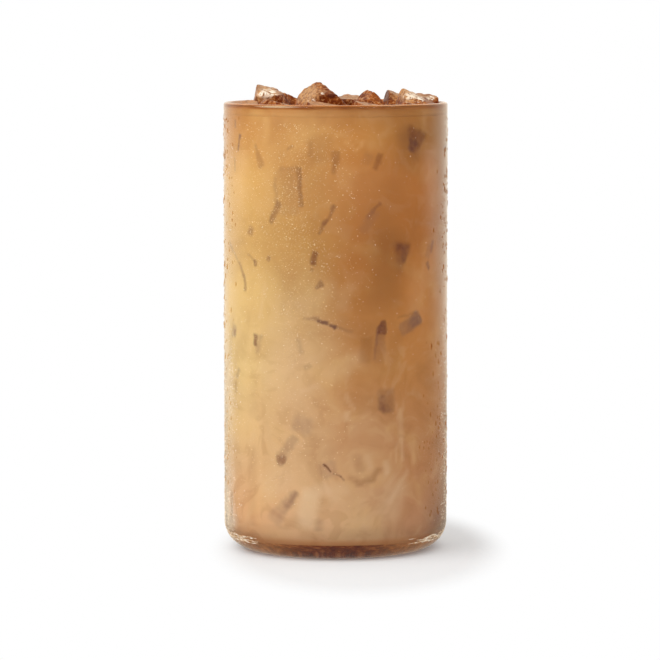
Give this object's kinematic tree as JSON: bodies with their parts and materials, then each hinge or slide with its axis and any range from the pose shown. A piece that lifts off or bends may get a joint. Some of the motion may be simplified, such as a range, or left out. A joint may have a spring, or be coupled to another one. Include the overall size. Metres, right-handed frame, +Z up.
{
  "type": "iced coffee with milk in a glass",
  "caption": "Tall straight glass with a thick foot, filled to the rim with iced coffee and milk, broken cubes of ice standing out of the top.",
  "frame": {"origin": "middle of the foot of the glass, on the surface it stands on", "axes": "+Z up along the axis of the glass, +Y away from the viewer, +X to the viewer's right"},
  "size_m": [0.072, 0.072, 0.1504],
  "materials": {
    "glass": "clear, polished",
    "coffee": "milky liquid, glossy",
    "ice": "melting, stained by the coffee"
  },
  "bodies": {
    "root": {"glass": "glass", "coffee": "coffee", "ice_left": "ice", "ice_notch": "ice", "ice_peak": "ice", "ice_ridge": "ice", "ice_tooth": "ice", "ice_fang": "ice", "ice_right": "ice", "ice_corner": "ice", "ice_far_left": "ice", "ice_front_left": "ice", "ice_front": "ice", "ice_front_right": "ice", "ice_near_right": "ice", "ice_back_left": "ice", "ice_back": "ice", "ice_back_right": "ice"}
  },
  "joints": []
}
